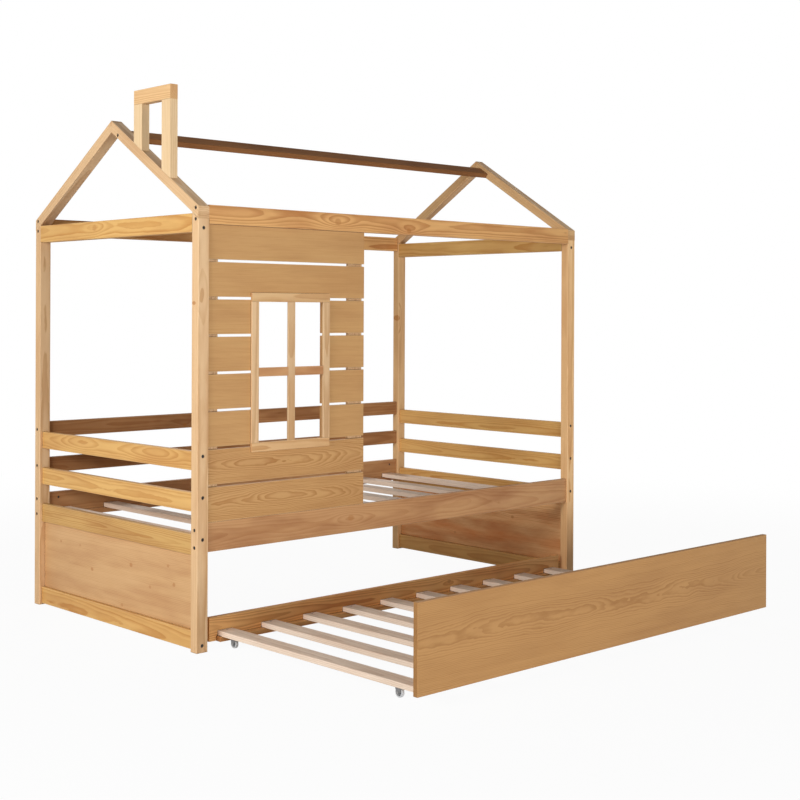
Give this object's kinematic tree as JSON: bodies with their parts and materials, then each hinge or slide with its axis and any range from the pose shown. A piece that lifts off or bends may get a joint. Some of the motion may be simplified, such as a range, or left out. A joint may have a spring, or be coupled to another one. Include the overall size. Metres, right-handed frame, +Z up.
{
  "type": "house frame bed",
  "caption": "House-shaped single bed with an open gable roof, a board wall with a window on the front, a chimney and a roll-out trundle.",
  "frame": {"origin": "on the floor, under the middle of the footprint of the bed with its trundle pulled out", "axes": "+X along the bed to the right as seen from the front, +Y from the front to the back, +Z up"},
  "size_m": [2, 2.017, 1.9185],
  "materials": {
    "frame_pine": "clear satin lacquer on knotty pine",
    "board_pine": "clear satin lacquer, fine straight grain",
    "slat_wood": "bare sawn softwood",
    "dowel_wood": "bare beech",
    "zinc_steel": "zinc plated",
    "caster_metal": "grey painted sheet steel",
    "wheel_plastic": "grey plastic"
  },
  "bodies": {
    "bed_frame": {"back_guard_lower": "frame_pine", "back_guard_upper": "frame_pine", "barrel_nuts": "zinc_steel", "bed_screws": "zinc_steel", "bed_slats": "slat_wood", "chimney_cap": "frame_pine", "chimney_legs": "frame_pine", "dowels": "dowel_wood", "end_bottom_rail_left": "frame_pine", "end_bottom_rail_right": "frame_pine", "end_guard_lower_left": "frame_pine", "end_guard_lower_right": "frame_pine", "end_guard_upper_left": "frame_pine", "end_guard_upper_right": "frame_pine", "end_panel_left": "frame_pine", "end_panel_right": "frame_pine", "end_top_rail_left": "frame_pine", "end_top_rail_right": "frame_pine", "end_wide_rail_left": "frame_pine", "end_wide_rail_right": "frame_pine", "frame_bolts": "zinc_steel", "post_back_left": "frame_pine", "post_back_right": "frame_pine", "post_front_left": "frame_pine", "post_front_right": "frame_pine", "rafter_back_left": "frame_pine", "rafter_back_right": "frame_pine", "rafter_front_left": "frame_pine", "rafter_front_right": "frame_pine", "ridge_beam": "frame_pine", "side_rail_back": "frame_pine", "side_rail_front": "frame_pine", "slat_cleats": "slat_wood", "top_rail_back": "frame_pine", "top_rail_front": "frame_pine", "wall_batten_left": "frame_pine", "wall_batten_right": "frame_pine", "wall_board_1": "board_pine", "wall_board_2": "board_pine", "wall_board_7": "board_pine", "wall_board_8": "board_pine", "wall_boards_left_of_window": "board_pine", "wall_boards_right_of_window": "board_pine", "window_crossbar": "frame_pine", "window_head": "frame_pine", "window_mullion": "frame_pine", "window_sill": "frame_pine", "window_stile_left": "frame_pine", "window_stile_right": "frame_pine"},
    "trundle": {"caster_axles": "zinc_steel", "caster_forks": "caster_metal", "trundle_back_rail": "frame_pine", "trundle_cleats": "frame_pine", "trundle_panel": "board_pine", "trundle_screws": "zinc_steel", "trundle_slats": "slat_wood"},
    "wheel_back_left": {"caster_wheel_back_left": "wheel_plastic"},
    "wheel_back_right": {"caster_wheel_back_right": "wheel_plastic"},
    "wheel_front_left": {"caster_wheel_front_left": "wheel_plastic"},
    "wheel_front_right": {"caster_wheel_front_right": "wheel_plastic"}
  },
  "joints": [
    {"name": "trundle_slide", "type": "slide", "parent": "bed_frame", "child": "trundle", "axis": [0, 1, 0], "range_m": [0, 0.957]},
    {"name": "wheel_back_left_spin", "type": "hinge", "parent": "trundle", "child": "wheel_back_left", "pos_m": [-0.855, -0.0705, 0.015], "axis": [1, 0, 0], "continuous": true},
    {"name": "wheel_back_right_spin", "type": "hinge", "parent": "trundle", "child": "wheel_back_right", "pos_m": [0.855, -0.0705, 0.015], "axis": [1, 0, 0], "continuous": true},
    {"name": "wheel_front_left_spin", "type": "hinge", "parent": "trundle", "child": "wheel_front_left", "pos_m": [-0.855, -0.8625, 0.015], "axis": [1, 0, 0], "continuous": true},
    {"name": "wheel_front_right_spin", "type": "hinge", "parent": "trundle", "child": "wheel_front_right", "pos_m": [0.855, -0.8625, 0.015], "axis": [1, 0, 0], "continuous": true}
  ]
}
